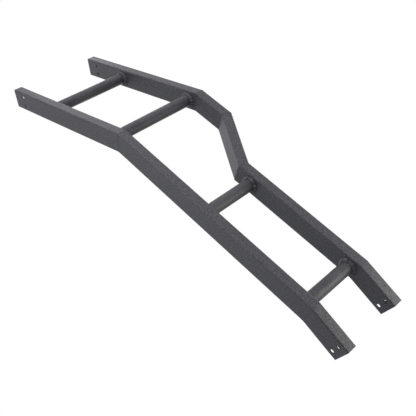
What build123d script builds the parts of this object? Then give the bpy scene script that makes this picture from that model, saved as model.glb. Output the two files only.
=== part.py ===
from build123d import *
from math import cos, radians, sin
import os

# Sizes in millimetres.
# X runs across the van, Y points in towards the door, Z is up.
# The origin is on the outer side of the left rail, midway between its two lower bolt holes.

# Rail tube
tube_width = 25.4
tube_depth = 50.8
tube_corner = 3.2
tube_wall = 2.0

# Rail shape, lengths along the middle of the tube
lower_length = 96.9
middle_length = 564.4
upper_length = 445.5
lower_bend_angle = 15.3
upper_bend_angle = 22.0

# Spread of the rails
wide_width = 273.2
narrow_width = 184.0
jog_below_bend = 90.9
jog_height = 139.2

# Rungs
rung_diameter = 29.4
rung_wall = 2.0
rung_1_above_bend = 289.7
rung_2_above_bend = 27.1
rung_3_below_bend = 268.1
rung_4_above_lower_bend = 19.4

# Welds
root_gap = 1.6
weld_crown = 0.3
fillet_leg = 5.0

# Bolt holes
bolt_hole_diameter = 8.4
bolt_spacing = 24.5
lower_bolt_margin = 17.2
upper_bolt_margin = 41.0

# Cut-out in the van side of the lower ends, where a bracket goes in
notch_length = 35.0
notch_depth = 4.4
notch_corner = 5.0

# Working lengths, longer than any tube is wide
reach = 200.0


def lean(angle):
    """Upward direction that leans by an angle from the vertical towards +Y."""
    return Vector(0, sin(radians(angle)), cos(radians(angle)))


# Rail line, seen from the side, as points on the middle of the left rail's outer face
up_lower = lean(-lower_bend_angle)
up_middle = lean(0)
up_upper = lean(upper_bend_angle)
lower_end = up_lower * -lower_bolt_margin
lower_corner = lower_end + up_lower * lower_length
upper_corner = lower_corner + up_middle * middle_length
upper_end = upper_corner + up_upper * upper_length

# Middles of the tubes across the van
left_x = tube_width / 2
wide_x = wide_width - tube_width / 2
narrow_x = narrow_width - tube_width / 2
jog_top = upper_corner - up_middle * jog_below_bend
jog_bottom = jog_top - up_middle * jog_height


def across(point, x):
    """Point of the rail line moved sideways to x."""
    return Vector(x, point.Y, point.Z)


def corner_plane(corner, below, above):
    """Mitre plane at a corner, facing up, halfway between the two tubes that meet there."""
    way_in = (corner - below).normalized()
    way_out = (above - corner).normalized()
    return Plane(origin=corner, z_dir=way_in + way_out)


def end_plane(end, direction):
    """Square end of a tube, facing along a direction."""
    return Plane(origin=end, z_dir=direction)


def tube_plane(point, direction):
    """Plane square to a tube, with its X across the tube."""
    back = Vector(0, 1, 0) - direction * direction.Y
    return Plane(origin=point, x_dir=back.cross(direction), z_dir=direction)


def tube_bar(start, finish, grow=0.0):
    """Rectangular tube from start to finish, run on past both ends."""
    direction = (finish - start).normalized()
    with BuildPart() as bar:
        with BuildSketch(tube_plane(start - direction * tube_depth, direction)):
            RectangleRounded(tube_width + 2 * grow, tube_depth + 2 * grow, tube_corner + grow)
            RectangleRounded(
                tube_width - 2 * tube_wall,
                tube_depth - 2 * tube_wall,
                tube_corner - tube_wall,
                mode=Mode.SUBTRACT,
            )
        extrude(amount=(finish - start).length + 2 * tube_depth)
    return bar.part


def keep_below(shape, plane, offset=0.0):
    """Part of a shape behind a plane."""
    return split(shape, bisect_by=plane.offset(offset), keep=Keep.BOTTOM)


def keep_above(shape, plane, offset=0.0):
    """Part of a shape in front of a plane."""
    return split(shape, bisect_by=plane.offset(offset), keep=Keep.TOP)


def bolt_holes(end, inner, margin):
    """Two bolt holes across the van at one rail end, beside each other in its depth."""
    direction = (inner - end).normalized()
    depthwise = Vector(0, direction.Z, -direction.Y)
    holes = Part()
    for side in (-1, 1):
        middle = end + direction * margin + depthwise * (side * bolt_spacing / 2)
        start = Plane(origin=across(middle, -reach), x_dir=(0, 1, 0), z_dir=(1, 0, 0))
        holes += extrude(start * Circle(bolt_hole_diameter / 2), amount=wide_width + 2 * reach)
    return holes


def rail_tube(start, finish, start_cut, finish_cut):
    """One straight tube of a rail between the cuts at its two ends."""
    return keep_below(keep_above(tube_bar(start, finish), start_cut), finish_cut)


def mitre_weld(corner, below, above, cut):
    """Weld that fills the root gap of a mitre, dressed nearly flush all round."""
    lower = keep_below(tube_bar(below, corner, weld_crown), cut)
    lower = keep_above(lower, cut, -root_gap / 2)
    upper = keep_above(tube_bar(corner, above, weld_crown), cut)
    upper = keep_below(upper, cut, root_gap / 2)
    return lower + upper


def bracket_notch(end, inner):
    """Space cut out of a lower rail end on its van side, open at the end and over the right side wall."""
    direction = (inner - end).normalized()
    inwards = Vector(0, direction.Z, -direction.Y)
    floor = end + inwards * (tube_depth / 2 - notch_depth)
    seat = Plane(origin=floor, x_dir=(1, 0, 0), z_dir=inwards)
    outline = RectangleRounded(2 * (tube_width - tube_wall), 2 * notch_length, notch_corner)
    return extrude(seat * Pos(tube_width / 2, 0) * outline, amount=tube_depth)


def rung(height, x_left, x_right):
    """Hollow round rung between the inner sides of the two rails."""
    start = Plane(origin=across(height, x_left), x_dir=(0, 1, 0), z_dir=(1, 0, 0))
    ring = Circle(rung_diameter / 2) - Circle(rung_diameter / 2 - rung_wall)
    return extrude(start * ring, amount=x_right - x_left)


def fillet_weld(height, x_face, side):
    """Ring of weld round a rung where it meets a rail, on the side that faces the rung."""
    radius = rung_diameter / 2
    root = (radius, 0)
    foot = (radius + fillet_leg, 0)
    toe = (radius, fillet_leg)
    with BuildPart() as bead:
        with BuildSketch(Plane.XZ):
            with BuildLine():
                Polyline(root, foot, toe, close=True)
            make_face()
        revolve(axis=Axis.Z)
    seat = Plane(origin=across(height, x_face), x_dir=(0, 1, 0), z_dir=(side, 0, 0))
    return seat * bead.part


def clear_of_mitre(bead, cut):
    """Fillet weld trimmed where it would run into a mitre weld."""
    above = keep_above(bead, cut, root_gap / 2)
    below = keep_below(bead, cut, -root_gap / 2)
    return above if above.volume > below.volume else below


def rail_line(side_x):
    """Corner points of a rail from bottom to top, at the given places across the van."""
    return [across(point, x) for point, x in side_x]


left_line = rail_line(
    [(lower_end, left_x), (lower_corner, left_x), (upper_corner, left_x), (upper_end, left_x)]
)
right_line = rail_line(
    [
        (lower_end, narrow_x),
        (lower_corner, narrow_x),
        (jog_bottom, narrow_x),
        (jog_top, wide_x),
        (upper_corner, wide_x),
        (upper_end, wide_x),
    ]
)
left_tubes = ["lower", "middle", "upper"]
left_corners = ["lower", "upper"]
right_tubes = ["lower", "lower_middle", "jog", "upper_middle", "upper"]
right_corners = ["lower", "jog_lower", "jog_upper", "upper"]


def rail(side, line, tube_names, corner_names):
    """All pieces of one rail, by node name."""
    pieces = {}
    corners = range(1, len(line) - 1)
    mitres = [corner_plane(line[i], line[i - 1], line[i + 1]) for i in corners]
    starts = [end_plane(line[0], up_lower)] + [cut.offset(root_gap / 2) for cut in mitres]
    finishes = [cut.offset(-root_gap / 2) for cut in mitres] + [end_plane(line[-1], up_upper)]
    removed = {
        tube_names[0]: bolt_holes(line[0], line[1], lower_bolt_margin)
        + bracket_notch(line[0], line[1]),
        tube_names[-1]: bolt_holes(line[-1], line[-2], upper_bolt_margin),
    }
    for i, name in enumerate(tube_names):
        tube = rail_tube(line[i], line[i + 1], starts[i], finishes[i])
        if name in removed:
            tube -= removed[name]
        pieces[f"{side}_rail_{name}_tube"] = tube
    for i, name in zip(corners, corner_names):
        weld = mitre_weld(line[i], line[i - 1], line[i + 1], mitres[i - 1])
        pieces[f"{side}_rail_{name}_mitre_weld"] = weld
    return pieces


def rungs():
    """The four rungs, top one first, each with the weld at its two ends, by node name."""
    pieces = {}
    upper_cut = corner_plane(upper_corner, lower_corner, upper_end)
    lower_cut = corner_plane(lower_corner, lower_end, upper_corner)
    wide_face = wide_width - tube_width
    narrow_face = narrow_width - tube_width
    places = [
        (upper_corner + up_upper * rung_1_above_bend, wide_face, upper_cut),
        (upper_corner + up_upper * rung_2_above_bend, wide_face, upper_cut),
        (upper_corner - up_middle * rung_3_below_bend, narrow_face, upper_cut),
        (lower_corner + up_middle * rung_4_above_lower_bend, narrow_face, lower_cut),
    ]
    for number, (height, right_face, cut) in enumerate(places, start=1):
        pieces[f"rung_{number}"] = rung(height, tube_width, right_face)
        for side, face, way in (("left", tube_width, 1), ("right", right_face, -1)):
            bead = clear_of_mitre(fillet_weld(height, face, way), cut)
            pieces[f"rung_{number}_{side}_weld"] = bead
    return pieces


def ladder():
    """Every piece of the ladder, by node name."""
    pieces = rail("left", left_line, left_tubes, left_corners)
    pieces |= rail("right", right_line, right_tubes, right_corners)
    pieces |= rungs()
    return pieces


os.makedirs("parts", exist_ok=True)
for node, shape in ladder().items():
    export_step(shape, f"parts/{node}.step")
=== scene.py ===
"""Rear door ladder of a van, dressed with its powder coat, weld beads, studio light and camera."""

import logging
import math
from dataclasses import dataclass, field
from enum import Enum

import bpy
import numpy as np
from mathutils import Euler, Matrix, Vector


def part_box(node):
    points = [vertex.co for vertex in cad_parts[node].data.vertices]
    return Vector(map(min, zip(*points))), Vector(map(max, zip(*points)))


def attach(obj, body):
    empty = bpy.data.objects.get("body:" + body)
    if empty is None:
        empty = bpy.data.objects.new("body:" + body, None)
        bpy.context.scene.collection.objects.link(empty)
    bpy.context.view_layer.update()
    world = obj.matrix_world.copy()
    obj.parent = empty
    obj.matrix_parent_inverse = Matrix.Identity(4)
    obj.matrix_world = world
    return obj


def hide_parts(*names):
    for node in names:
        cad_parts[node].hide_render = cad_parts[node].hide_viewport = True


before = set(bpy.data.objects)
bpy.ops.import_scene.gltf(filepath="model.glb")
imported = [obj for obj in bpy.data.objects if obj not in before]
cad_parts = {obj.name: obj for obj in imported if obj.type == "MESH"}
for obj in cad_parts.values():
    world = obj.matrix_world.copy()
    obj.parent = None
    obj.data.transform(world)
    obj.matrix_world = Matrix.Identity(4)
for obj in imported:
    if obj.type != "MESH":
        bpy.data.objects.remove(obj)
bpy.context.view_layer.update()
BODY = "root"

LADDER_MIDDLE = (0.1, 0.0, 0.5)
PLAIN_LIGHT = (1.0, 1.0, 1.0)
WARM_LIGHT = (1.0, 0.95, 0.86)
WHITE = (1.0, 1.0, 1.0, 1.0)

log = logging.getLogger("door_ladder")


class Side(Enum):
    """The two rails, and the way from each towards the rungs along X."""

    LEFT = ("left", 1.0)
    RIGHT = ("right", -1.0)

    @property
    def label(self) -> str:
        """Name of the rail in the names of the pieces."""
        return self.value[0]

    @property
    def inward(self) -> float:
        """Sign of the way from the rail towards the rungs."""
        return self.value[1]


def as_array(point: Vector) -> np.ndarray:
    """Row of three numbers for a point."""
    return np.array(point[:], float)


def smooth_wave(along: np.ndarray, seed: int, lowest: int, highest: int) -> np.ndarray:
    """Gentle closed unevenness: a sum of sine waves that all fit a whole number of times round a loop.

    Args:
        along: Place round the loop, from 0 to 1.
        seed: Number that fixes the waves' phases and heights.
        lowest: Fewest waves in a turn.
        highest: Most waves in a turn.

    Returns:
        Values of about -1 to 1, of the shape of along.
    """
    rng = np.random.default_rng(seed)
    counts = np.arange(lowest, highest + 1)
    phases = rng.uniform(0, 2 * np.pi, counts.size)
    heights = rng.uniform(0.5, 1.0, counts.size)
    waves = np.sin(2 * np.pi * np.multiply.outer(along, counts) + phases) * heights
    return waves.sum(axis=-1) / np.sqrt((heights**2).sum())


def ring_mesh(name: str, points: np.ndarray, crest: np.ndarray) -> bpy.types.Object:
    """Closed ring of faces through a grid of points that wraps round both ways.

    Each face joins four neighbours of the grid, the last row and column joining the first. The rows are
    turned over where the enclosed volume, the sum of the corner triple products, comes out negative.

    Args:
        name: Name of the new object and its mesh.
        points: Grid of points, rows along the bead, columns round its section.
        crest: How proud the surface stands at each point, from 0 to 1, kept as an attribute that lightens
            the weld's colour as a painted highlight.

    Returns:
        The object, at the origin, with smooth faces.
    """
    rows, columns = points.shape[:2]
    row = np.arange(rows)[:, None]
    column = np.arange(columns)[None, :]
    next_row = (row + 1) % rows
    next_column = (column + 1) % columns
    faces = np.stack(
        [
            row * columns + column,
            next_row * columns + column,
            next_row * columns + next_column,
            row * columns + next_column,
        ],
        axis=-1,
    ).reshape(-1, 4)
    flat = points.reshape(-1, 3)
    a, b, c, d = (flat[faces[:, k]] for k in range(4))
    volume = np.einsum("ij,ij->i", a, np.cross(b, c)).sum() + np.einsum("ij,ij->i", a, np.cross(c, d)).sum()
    if volume < 0:
        faces = faces[:, ::-1]
    mesh = bpy.data.meshes.new(name)
    mesh.from_pydata(flat.tolist(), [], faces.tolist())
    mesh.polygons.foreach_set("use_smooth", np.ones(len(faces), bool))
    layer = mesh.attributes.new("crest", "FLOAT", "POINT")
    layer.data.foreach_set("value", crest.reshape(-1).astype(np.float32))
    mesh.update()
    piece = bpy.data.objects.new(name, mesh)
    bpy.context.scene.collection.objects.link(piece)
    return piece


def socket(group: bpy.types.NodeTree, name: str, way: str, kind: str, value: float | None = None) -> None:
    """Named socket on the outside of a node group.

    Args:
        group: The node group.
        name: Name of the socket.
        way: INPUT or OUTPUT.
        kind: Class name of the socket.
        value: What an input holds until it is set.
    """
    made = group.interface.new_socket(name=name, in_out=way, socket_type=kind)
    if value is not None:
        made.default_value = value


@dataclass(frozen=True)
class CoatTexture:
    """Fine texture of a baked powder coat, as a node group shared by every coated piece.

    The group's inputs are the scales of the fine grain, of the sandy mottle and of the wide clouds, the
    shares of the mottle in the height and in the tone, and how far the painted shade of crevices reaches,
    in metres. Its outputs are a height, a tone, a mask of bright grains and a mask of open surface, which
    is low where shade is painted into crevices, all from 0 to 1.

    Each noise has a pair of layers, the number of finer layers and their strength. Each spread is the
    pair of values that a smooth step stretches to 0 and 1.
    """

    name: str = "powder_coat_texture"
    grain_layers: tuple[float, float] = (2.0, 0.55)
    mottle_layers: tuple[float, float] = (4.0, 0.85)
    cloud_layers: tuple[float, float] = (3.0, 0.6)
    cloud_spread: tuple[float, float] = (0.3, 0.7)
    mottle_spread: tuple[float, float] = (0.39, 0.61)
    glint_spread: tuple[float, float] = (0.58, 0.78)
    # the open spread and the samples belong to the ambient occlusion that paints shade into crevices
    painted_shade_spread: tuple[float, float] = (0.2, 0.9)
    painted_shade_samples: int = 8

    def build(self) -> bpy.types.NodeTree:
        """Node group of the coat's texture.

        The height is fine noise, the grain, mixed with coarser noise, the mottle. The tone is very wide
        noise, the clouds, mixed with the mottle. The glint mask keeps only the highest grains. The open
        mask, from ambient occlusion, falls towards 0 where other surfaces stand close in front, as in the
        corner beside a bead or inside a tube, and darkens the colour there as painted shade.

        Returns:
            The group, made once and found again by its name.
        """
        group = bpy.data.node_groups.get(self.name)
        if group is not None:
            return group
        group = bpy.data.node_groups.new(self.name, "ShaderNodeTree")
        self.sockets(group)
        nodes = group.nodes
        links = group.links
        inside = nodes.new("NodeGroupInput")
        outside = nodes.new("NodeGroupOutput")
        grain = self.noise(group, inside, "Grain Scale", self.grain_layers)
        mottle = self.noise(group, inside, "Mottle Scale", self.mottle_layers)
        cloud = self.noise(group, inside, "Cloud Scale", self.cloud_layers)
        height = nodes.new("ShaderNodeMix")
        links.new(inside.outputs["Mottle Height"], height.inputs["Factor"])
        links.new(grain, height.inputs["A"])
        links.new(mottle, height.inputs["B"])
        tone = nodes.new("ShaderNodeMix")
        links.new(inside.outputs["Mottle Tone"], tone.inputs["Factor"])
        links.new(self.stretch(group, cloud, self.cloud_spread), tone.inputs["A"])
        links.new(self.stretch(group, mottle, self.mottle_spread), tone.inputs["B"])
        # ambient occlusion, which paints shade into crevices and inside tubes
        crevice = nodes.new("ShaderNodeAmbientOcclusion")
        crevice.samples = self.painted_shade_samples
        links.new(inside.outputs["Painted Shade Reach"], crevice.inputs["Distance"])
        links.new(height.outputs["Result"], outside.inputs["Height"])
        links.new(tone.outputs["Result"], outside.inputs["Tone"])
        links.new(self.stretch(group, grain, self.glint_spread), outside.inputs["Glint"])
        links.new(self.stretch(group, crevice.outputs["AO"], self.painted_shade_spread), outside.inputs["Painted Shade Factor"])
        return group

    def sockets(self, group: bpy.types.NodeTree) -> None:
        """Inputs and outputs of the texture.

        Args:
            group: The node group, still empty.
        """
        socket(group, "Place", "INPUT", "NodeSocketVector")
        socket(group, "Grain Scale", "INPUT", "NodeSocketFloat", 900.0)
        socket(group, "Mottle Scale", "INPUT", "NodeSocketFloat", 400.0)
        socket(group, "Cloud Scale", "INPUT", "NodeSocketFloat", 9.0)
        socket(group, "Mottle Height", "INPUT", "NodeSocketFloat", 0.4)
        socket(group, "Mottle Tone", "INPUT", "NodeSocketFloat", 0.6)
        socket(group, "Painted Shade Reach", "INPUT", "NodeSocketFloat", 0.03)
        socket(group, "Height", "OUTPUT", "NodeSocketFloat")
        socket(group, "Tone", "OUTPUT", "NodeSocketFloat")
        socket(group, "Glint", "OUTPUT", "NodeSocketFloat")
        socket(group, "Painted Shade Factor", "OUTPUT", "NodeSocketFloat")

    def noise(
        self, group: bpy.types.NodeTree, inside: bpy.types.Node, scale: str, layers: tuple[float, float]
    ) -> bpy.types.NodeSocket:
        """Noise texture driven by one of the group's scales.

        Args:
            group: The node group.
            inside: The group's input node.
            scale: Name of the input that holds the noise's scale.
            layers: Number of finer layers, and their strength.

        Returns:
            The noise's value socket.
        """
        noise = group.nodes.new("ShaderNodeTexNoise")
        noise.inputs["Detail"].default_value = layers[0]
        noise.inputs["Roughness"].default_value = layers[1]
        group.links.new(inside.outputs["Place"], noise.inputs["Vector"])
        group.links.new(inside.outputs[scale], noise.inputs["Scale"])
        return noise.outputs["Fac"]

    def stretch(
        self, group: bpy.types.NodeTree, value: bpy.types.NodeSocket, spread: tuple[float, float]
    ) -> bpy.types.NodeSocket:
        """Smooth step that spreads the middle of a noise or a mask over the whole range.

        Args:
            group: The node group.
            value: The noise or the mask.
            spread: Values that become 0 and 1.

        Returns:
            The stretched value's socket.
        """
        step = group.nodes.new("ShaderNodeMapRange")
        step.interpolation_type = "SMOOTHSTEP"
        step.inputs["From Min"].default_value = spread[0]
        step.inputs["From Max"].default_value = spread[1]
        group.links.new(value, step.inputs["Value"])
        return step.outputs["Result"]


@dataclass(frozen=True)
class PowderCoat:
    """Dark satin powder coat with a fine sandy texture."""

    name: str
    slot: str
    dark: tuple[float, float, float] = (0.044, 0.046, 0.056)
    light: tuple[float, float, float] = (0.128, 0.131, 0.153)
    roughness: float = 0.46
    roughness_spread: float = 0.1
    sheen_level: float = 0.42
    grain_scale: float = 1100.0
    mottle_scale: float = 340.0
    cloud_scale: float = 11.0
    mottle_height: float = 0.4
    mottle_tone: float = 1.0
    bump_depth: float = 0.0004
    bump_strength: float = 0.5
    # painted highlight: share by which the proud crests of a weld bead are coloured lighter
    painted_crest_highlight: float = 0.0
    # painted shade: how far the darkening of crevices reaches, and how dark the colour gets at the deepest
    painted_shade_reach: float = 0.035
    painted_shade_darkest: float = 0.06

    def material(self) -> bpy.types.Material:
        """Material of the coat, with its colour, its gloss and its relief from one texture.

        Returns:
            The material, made once and found again by its name.
        """
        made = bpy.data.materials.get(self.name)
        if made is not None:
            return made
        made = bpy.data.materials.new(self.name)
        made.use_nodes = True
        shader = made.node_tree.nodes["Principled BSDF"]
        shader.inputs["Metallic"].default_value = 0.0
        shader.inputs["Specular IOR Level"].default_value = self.sheen_level
        texture = self.texture(made.node_tree)
        self.colour(made.node_tree, texture, shader)
        self.gloss(made.node_tree, texture, shader)
        self.relief(made.node_tree, texture, shader)
        return made

    def texture(self, tree: bpy.types.NodeTree) -> bpy.types.Node:
        """The shared texture on the piece's own coordinates, with this coat's scales and shares.

        Args:
            tree: The material's nodes.

        Returns:
            The texture's group node.
        """
        place = tree.nodes.new("ShaderNodeTexCoord")
        texture = tree.nodes.new("ShaderNodeGroup")
        texture.node_tree = CoatTexture().build()
        texture.inputs["Grain Scale"].default_value = self.grain_scale
        texture.inputs["Mottle Scale"].default_value = self.mottle_scale
        texture.inputs["Cloud Scale"].default_value = self.cloud_scale
        texture.inputs["Mottle Height"].default_value = self.mottle_height
        texture.inputs["Mottle Tone"].default_value = self.mottle_tone
        texture.inputs["Painted Shade Reach"].default_value = self.painted_shade_reach
        tree.links.new(place.outputs["Object"], texture.inputs["Place"])
        return texture

    def tone(self, tree: bpy.types.NodeTree, texture: bpy.types.Node) -> bpy.types.NodeSocket:
        """Share of the light tone, from the texture and, on a weld bead, from how proud it stands, which
        paints a highlight on the bead's crests.

        Args:
            tree: The material's nodes.
            texture: The coat's texture.

        Returns:
            The socket that mixes the two tones.
        """
        if not self.painted_crest_highlight:
            return texture.outputs["Tone"]
        crest = tree.nodes.new("ShaderNodeAttribute")
        crest.attribute_name = "crest"
        blend = tree.nodes.new("ShaderNodeMix")
        blend.inputs["Factor"].default_value = self.painted_crest_highlight
        tree.links.new(texture.outputs["Tone"], blend.inputs["A"])
        tree.links.new(crest.outputs["Fac"], blend.inputs["B"])
        return blend.outputs["Result"]

    def colour(self, tree: bpy.types.NodeTree, texture: bpy.types.Node, shader: bpy.types.Node) -> None:
        """Colour that runs from the dark to the light tone, with shade painted darker into crevices and
        inside tubes.

        Args:
            tree: The material's nodes.
            texture: The coat's texture.
            shader: The coat's shader.
        """
        mixed = tree.nodes.new("ShaderNodeMix")
        mixed.data_type = "RGBA"
        mixed.inputs["A"].default_value = (*self.dark, 1.0)
        mixed.inputs["B"].default_value = (*self.light, 1.0)
        tree.links.new(self.tone(tree, texture), mixed.inputs["Factor"])
        shade = tree.nodes.new("ShaderNodeMapRange")
        shade.inputs["To Min"].default_value = self.painted_shade_darkest
        tree.links.new(texture.outputs["Painted Shade Factor"], shade.inputs["Value"])
        shaded = tree.nodes.new("ShaderNodeVectorMath")
        shaded.operation = "SCALE"
        tree.links.new(mixed.outputs["Result"], shaded.inputs[0])
        tree.links.new(shade.outputs["Result"], shaded.inputs["Scale"])
        tree.links.new(shaded.outputs["Vector"], shader.inputs["Base Color"])

    def gloss(self, tree: bpy.types.NodeTree, texture: bpy.types.Node, shader: bpy.types.Node) -> None:
        """Roughness that is a little lower on the brightest grains.

        Args:
            tree: The material's nodes.
            texture: The coat's texture.
            shader: The coat's shader.
        """
        rough = tree.nodes.new("ShaderNodeMapRange")
        rough.inputs["To Min"].default_value = self.roughness + self.roughness_spread
        rough.inputs["To Max"].default_value = self.roughness
        tree.links.new(texture.outputs["Glint"], rough.inputs["Value"])
        tree.links.new(rough.outputs["Result"], shader.inputs["Roughness"])

    def relief(self, tree: bpy.types.NodeTree, texture: bpy.types.Node, shader: bpy.types.Node) -> None:
        """Bump of the surface by the texture's height.

        Args:
            tree: The material's nodes.
            texture: The coat's texture.
            shader: The coat's shader.
        """
        bump = tree.nodes.new("ShaderNodeBump")
        bump.inputs["Strength"].default_value = self.bump_strength
        bump.inputs["Distance"].default_value = self.bump_depth
        tree.links.new(texture.outputs["Height"], bump.inputs["Height"])
        tree.links.new(bump.outputs["Normal"], shader.inputs["Normal"])

    def dress(self, piece: bpy.types.Object) -> None:
        """Puts the coat on every face of a piece."""
        piece.data.materials.clear()
        piece.data.materials.append(self.material())


RAIL_COAT = PowderCoat(name="powder_coat_on_rails", slot="rail_coat")
RUNG_COAT = PowderCoat(
    name="powder_coat_on_rungs",
    slot="rung_coat",
    light=(0.116, 0.119, 0.139),
    cloud_scale=16.0,
    mottle_tone=0.55,
    bump_strength=0.45,
)
WELD_COAT = PowderCoat(
    name="powder_coat_on_welds",
    slot="weld_coat",
    dark=(0.030, 0.031, 0.037),
    light=(0.180, 0.181, 0.200),
    roughness=0.4,
    bump_strength=0.3,
    # painted highlight on the bead's proud crests, with a wide dark-to-light tone range
    painted_crest_highlight=0.7,
    # a milder painted shade in the bead's crevices
    painted_shade_darkest=0.6,
)


@dataclass
class RungWeld:
    """Rippled bead of weld laid round a rung where it meets a rail.

    Lengths are in metres. The heights of the blobs, ripples and sway are shares of the leg, the bow and
    the drift are shares of a turn, and the crest values make up how proud a point stands, which the weld's
    coat turns into a painted highlight on the proud parts.
    """

    rung: int
    side: Side
    leg: float = 0.0060
    sink: float = 0.0004
    tuck: float = 0.8
    fullness: float = 1.35
    ripple_count: int = 32
    ripple_height: float = 0.032
    blob_waves: tuple[int, int] = (6, 17)
    blob_height: float = 0.16
    sway_waves: tuple[int, int] = (2, 5)
    sway_height: float = 0.08
    bow: float = 0.02
    drift: float = 0.012
    edge_lumps: float = 0.25
    crest_level: float = 0.45
    crest_of_blobs: float = 0.4
    crest_of_ripples: float = 0.16
    crest_at_edges: float = 0.4
    rows: int = 360
    columns: int = 20

    @property
    def node(self) -> str:
        """Name of the CAD bead that this one stands for."""
        return f"rung_{self.rung}_{self.side.label}_weld"

    @property
    def blob_seed(self) -> int:
        """Seed of the blobs, another one for each bead."""
        return 10 * self.rung + (1 if self.side is Side.LEFT else 2)

    @property
    def sway_seed(self) -> int:
        """Seed of the sway, another one for each bead."""
        return self.blob_seed + 5

    def place(self) -> tuple[np.ndarray, float]:
        """Where the bead lies, from the box of its rung.

        Returns:
            The middle of the bead on the rail's face, and the rung's radius.
        """
        low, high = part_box(f"rung_{self.rung}")
        middle = (as_array(low) + as_array(high)) / 2
        middle[0] = low.x if self.side is Side.LEFT else high.x
        return middle, (high.z - low.z) / 2

    def surface(self) -> tuple[np.ndarray, np.ndarray]:
        """Grid of the bead.

        Along u the section is carried round the rung. Within the section v runs from the foot on the rail
        to the toe on the rung along a quarter of a superellipse, whose power is the fullness, 1 being flat
        and 2 round, and then returns under both surfaces. The leg swells and shrinks with slow waves, the
        blobs of a hand weld, and with scallops for the ripples: the absolute sine of the turn, bowed
        forwards at the middle of the section and drifting with the slowest waves.

        Returns:
            The points in metres, and how proud each stands, from 0 to 1.
        """
        middle, radius = self.place()
        reach = self.tuck * self.leg
        under_out = np.array([radius - self.sink, radius - self.sink, radius + reach])
        under_high = np.array([reach, -self.sink, -self.sink])
        hidden = (self.rows, under_out.size)
        u = np.arange(self.rows) / self.rows
        v = np.linspace(0, 1, self.columns - under_out.size)
        blobs = smooth_wave(u, self.blob_seed, *self.blob_waves)[:, None]
        sway = smooth_wave(u, self.sway_seed, *self.sway_waves)[:, None]
        swell = np.sin(np.pi * v)[None, :]
        turn = u[:, None] + self.drift * sway - self.bow * swell
        scallop = np.abs(np.sin(np.pi * self.ripple_count * turn))
        lumps = self.blob_height * blobs + self.ripple_height * scallop
        share = self.edge_lumps + (1 - self.edge_lumps) * swell
        size = self.leg * (1 + self.sway_height * sway + lumps * share)
        angle = np.pi / 2 * v[None, :]
        power = 2 / self.fullness
        out = radius + size * np.cos(angle) ** power
        high = size * np.sin(angle) ** power
        out = np.concatenate([out, np.broadcast_to(under_out, hidden)], axis=1)
        high = np.concatenate([high, np.broadcast_to(under_high, hidden)], axis=1)
        around = 2 * np.pi * u[:, None]
        points = np.stack(
            [
                middle[0] + self.side.inward * high,
                middle[1] + out * np.cos(around),
                middle[2] + out * np.sin(around),
            ],
            axis=-1,
        )
        crest = self.crest_level + self.crest_of_blobs * blobs + self.crest_of_ripples * (scallop - 0.5)
        proud = np.clip(crest, 0, 1) * (self.crest_at_edges + (1 - self.crest_at_edges) * swell)
        return points, np.concatenate([proud, np.zeros(hidden)], axis=1)

    def build(self) -> bpy.types.Object:
        """Lays the bead in place of the CAD one and coats it.

        Returns:
            The bead.
        """
        points, proud = self.surface()
        piece = ring_mesh(f"{self.node}_bead", points, proud)
        WELD_COAT.dress(piece)
        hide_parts(self.node)
        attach(piece, BODY)
        return piece


@dataclass
class Rung:
    """Round rung with a weld bead at each end."""

    number: int

    def build(self) -> list[bpy.types.Object]:
        """Coats the rung's tube and lays its two beads.

        Returns:
            The tube and the beads.
        """
        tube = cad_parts[f"rung_{self.number}"]
        RUNG_COAT.dress(tube)
        return [tube] + [RungWeld(self.number, side).build() for side in Side]


@dataclass
class Rail:
    """Bent rail made of straight tubes with dressed mitre welds between them."""

    side: Side
    tubes: list[str]
    corners: list[str]

    def build(self) -> list[bpy.types.Object]:
        """Coats the rail's tubes and mitre welds.

        Returns:
            The tubes, from the bottom up, and then the mitre welds.
        """
        start = f"{self.side.label}_rail_"
        names = [f"{start}{tube}_tube" for tube in self.tubes]
        names += [f"{start}{corner}_mitre_weld" for corner in self.corners]
        pieces = [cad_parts[name] for name in names]
        for piece in pieces:
            RAIL_COAT.dress(piece)
        return pieces


@dataclass
class Ladder:
    """The whole ladder: two rails and the rungs between them."""

    rails: list[Rail] = field(
        default_factory=lambda: [
            Rail(Side.LEFT, ["lower", "middle", "upper"], ["lower", "upper"]),
            Rail(
                Side.RIGHT,
                ["lower", "lower_middle", "jog", "upper_middle", "upper"],
                ["lower", "jog_lower", "jog_upper", "upper"],
            ),
        ]
    )
    rungs: list[Rung] = field(default_factory=lambda: [Rung(number) for number in (1, 2, 3, 4)])

    def build(self) -> None:
        """Dresses every piece and reports it."""
        for part in [*self.rails, *self.rungs]:
            for piece in part.build():
                log.info("%s: %d faces", piece.name, len(piece.data.polygons))


@dataclass(frozen=True)
class Softbox:
    """Square area lamp aimed at a point, its size in metres and its power in watts."""

    name: str
    place: tuple[float, float, float]
    size: float
    power: float
    aim: tuple[float, float, float] = LADDER_MIDDLE
    tint: tuple[float, float, float] = PLAIN_LIGHT

    def build(self) -> bpy.types.Object:
        """Sets the lamp up, facing its aim and unseen by the camera.

        Returns:
            The lamp.
        """
        light = bpy.data.lights.new(self.name, "AREA")
        light.shape = "SQUARE"
        light.size = self.size
        light.energy = self.power
        light.color = self.tint
        lamp = bpy.data.objects.new(self.name, light)
        lamp.location = self.place
        way = Vector(self.aim) - Vector(self.place)
        lamp.rotation_euler = way.to_track_quat("-Z", "Y").to_euler()
        lamp.visible_camera = False
        bpy.context.scene.collection.objects.link(lamp)
        return lamp


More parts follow.
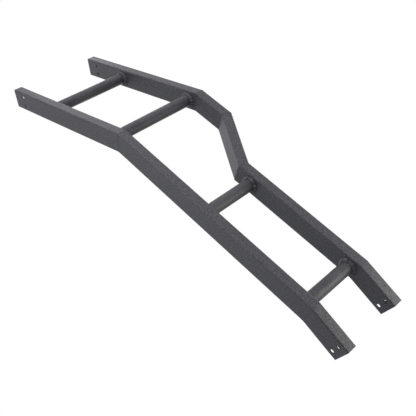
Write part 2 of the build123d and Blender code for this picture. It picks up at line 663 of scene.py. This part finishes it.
@dataclass
class Studio:
    """Pale floor, white surroundings and soft lamps."""

    floor_height: float = -0.80
    floor_half: float = 14.0
    floor_points: int = 3
    floor_tone: float = 0.86
    floor_glow: float = 0.95
    world_level: float = 0.2
    softboxes: tuple[Softbox, ...] = (
        Softbox("front_softbox", (0.1, -0.9, 1.3), size=0.5, power=3.8, tint=(1.0, 0.96, 1.0)),
        Softbox("front_right_softbox", (1.2, -1.4, 1.7), size=1.4, power=3.0, tint=(1.0, 0.97, 0.99)),
        Softbox("left_softbox", (-1.0, -0.1, 0.7), size=0.4, power=1.45, tint=(1.0, 0.96, 1.0)),
        Softbox("near_left_softbox", (-0.3, -0.3, 0.5), size=0.3, power=0.37, aim=(0.0, 0.0, 0.5)),
        Softbox("right_softbox", (1.4, 0.2, 1.8), size=1.2, power=1.9, tint=(1.0, 0.95, 0.98)),
        Softbox("back_softbox", (0.1, 0.7, 1.8), size=0.6, power=1.75, tint=(0.98, 0.95, 1.0)),
        Softbox("back_right_softbox", (0.5, 0.3, 1.6), size=0.4, power=2.2, tint=(1.0, 0.96, 0.99)),
        Softbox("door_side_softbox", (1.1, 1.9, 0.9), size=1.4, power=11.0),
        Softbox("low_front_softbox", (0.42, -0.45, -0.3), 0.15, 1.5, aim=(0.1, 0.0, 0.1), tint=WARM_LIGHT),
        Softbox("low_right_softbox", (0.8, -0.3, -0.6), 0.5, 5.1, aim=(0.1, 0.0, 0.2), tint=WARM_LIGHT),
    )

    def floor(self) -> bpy.types.Object:
        """Wide pale floor below the ladder's lower ends.

        Returns:
            The floor, a flat square grid.
        """
        count = self.floor_points
        edge = np.linspace(-self.floor_half, self.floor_half, count)
        x, y = np.meshgrid(edge, edge, indexing="ij")
        points = np.stack([x, y, np.full_like(x, self.floor_height)], axis=-1).reshape(-1, 3)
        i, j = np.meshgrid(np.arange(count - 1), np.arange(count - 1), indexing="ij")
        first = (i * count + j).reshape(-1)
        faces = np.stack([first, first + count, first + count + 1, first + 1], axis=-1)
        mesh = bpy.data.meshes.new("studio_floor")
        mesh.from_pydata(points.tolist(), [], faces.tolist())
        mesh.update()
        made = bpy.data.objects.new("studio_floor", mesh)
        bpy.context.scene.collection.objects.link(made)
        made.data.materials.append(self.floor_finish())
        return made

    def floor_finish(self) -> bpy.types.Material:
        """Matt pale paper that also glows a little for the camera.

        Returns:
            A material that adds a share of white, seen by the camera alone, to a plain diffuse surface, so
            that the open floor is white and the object's shadow stays on it.
        """
        made = bpy.data.materials.new("pale_floor_paper")
        made.use_nodes = True
        nodes = made.node_tree.nodes
        links = made.node_tree.links
        nodes.clear()
        output = nodes.new("ShaderNodeOutputMaterial")
        paper = nodes.new("ShaderNodeBsdfDiffuse")
        paper.inputs["Color"].default_value = (self.floor_tone, self.floor_tone, self.floor_tone, 1.0)
        white = nodes.new("ShaderNodeEmission")
        seen = nodes.new("ShaderNodeLightPath")
        share = nodes.new("ShaderNodeMath")
        share.operation = "MULTIPLY"
        share.inputs[1].default_value = self.floor_glow
        links.new(seen.outputs["Is Camera Ray"], share.inputs[0])
        links.new(share.outputs["Value"], white.inputs["Strength"])
        both = nodes.new("ShaderNodeAddShader")
        links.new(paper.outputs["BSDF"], both.inputs[0])
        links.new(white.outputs["Emission"], both.inputs[1])
        links.new(both.outputs["Shader"], output.inputs["Surface"])
        return made

    def surroundings(self) -> None:
        """White world for the camera and for reflections, and a softer level of light from all round."""
        world = bpy.data.worlds.new("white_studio")
        world.use_nodes = True
        bpy.context.scene.world = world
        nodes = world.node_tree.nodes
        links = world.node_tree.links
        nodes.clear()
        output = nodes.new("ShaderNodeOutputWorld")
        ambient = nodes.new("ShaderNodeBackground")
        ambient.inputs["Strength"].default_value = self.world_level
        ambient.inputs["Color"].default_value = WHITE
        shown = nodes.new("ShaderNodeBackground")
        shown.inputs["Strength"].default_value = 1.0
        shown.inputs["Color"].default_value = WHITE
        seen = nodes.new("ShaderNodeLightPath")
        glossy = nodes.new("ShaderNodeMath")
        glossy.operation = "MAXIMUM"
        links.new(seen.outputs["Is Camera Ray"], glossy.inputs[0])
        links.new(seen.outputs["Is Glossy Ray"], glossy.inputs[1])
        through = nodes.new("ShaderNodeMath")
        through.operation = "MAXIMUM"
        links.new(glossy.outputs["Value"], through.inputs[0])
        links.new(seen.outputs["Is Transmission Ray"], through.inputs[1])
        mix = nodes.new("ShaderNodeMixShader")
        links.new(through.outputs["Value"], mix.inputs["Fac"])
        links.new(ambient.outputs["Background"], mix.inputs[1])
        links.new(shown.outputs["Background"], mix.inputs[2])
        links.new(mix.outputs["Shader"], output.inputs["Surface"])

    def build(self) -> None:
        """Lays the floor, sets the world and the lamps up, and reports each lamp."""
        self.floor()
        self.surroundings()
        for softbox in self.softboxes:
            lamp = softbox.build()
            log.info("%s: %.2f W", lamp.name, lamp.data.energy)


@dataclass(frozen=True)
class PhotoCamera:
    """Camera at the photograph's viewpoint, low and to the left, looking up along the ladder."""

    place: tuple[float, float, float] = (-0.71374, -1.04862, -0.11004)
    turn_degrees: tuple[float, float, float] = (123.9978, 42.8458, -11.3244)
    lens: float = 55.390
    sensor: float = 36.0
    shift_x: float = 0.0620
    shift_y: float = -0.0539
    nearest: float = 0.01
    farthest: float = 60.0

    def build(self) -> bpy.types.Object:
        """Sets the camera up and makes it the scene's own.

        Returns:
            The camera.
        """
        data = bpy.data.cameras.new("photo_camera")
        data.lens = self.lens
        data.sensor_width = self.sensor
        data.shift_x = self.shift_x
        data.shift_y = self.shift_y
        data.clip_start = self.nearest
        data.clip_end = self.farthest
        camera = bpy.data.objects.new("photo_camera", data)
        camera.location = self.place
        camera.rotation_euler = Euler([math.radians(angle) for angle in self.turn_degrees], "XYZ")
        bpy.context.scene.collection.objects.link(camera)
        bpy.context.scene.camera = camera
        return camera


def main() -> None:
    """Builds the ladder's looks, the studio and the camera, in that order."""
    logging.basicConfig(level=logging.INFO, format="%(name)s: %(message)s")
    bpy.context.scene.view_settings.view_transform = "Standard"
    Ladder().build()
    Studio().build()
    camera = PhotoCamera().build()
    log.info("%s: lens %.1f mm", camera.name, camera.data.lens)


if __name__ == "__main__":
    main()
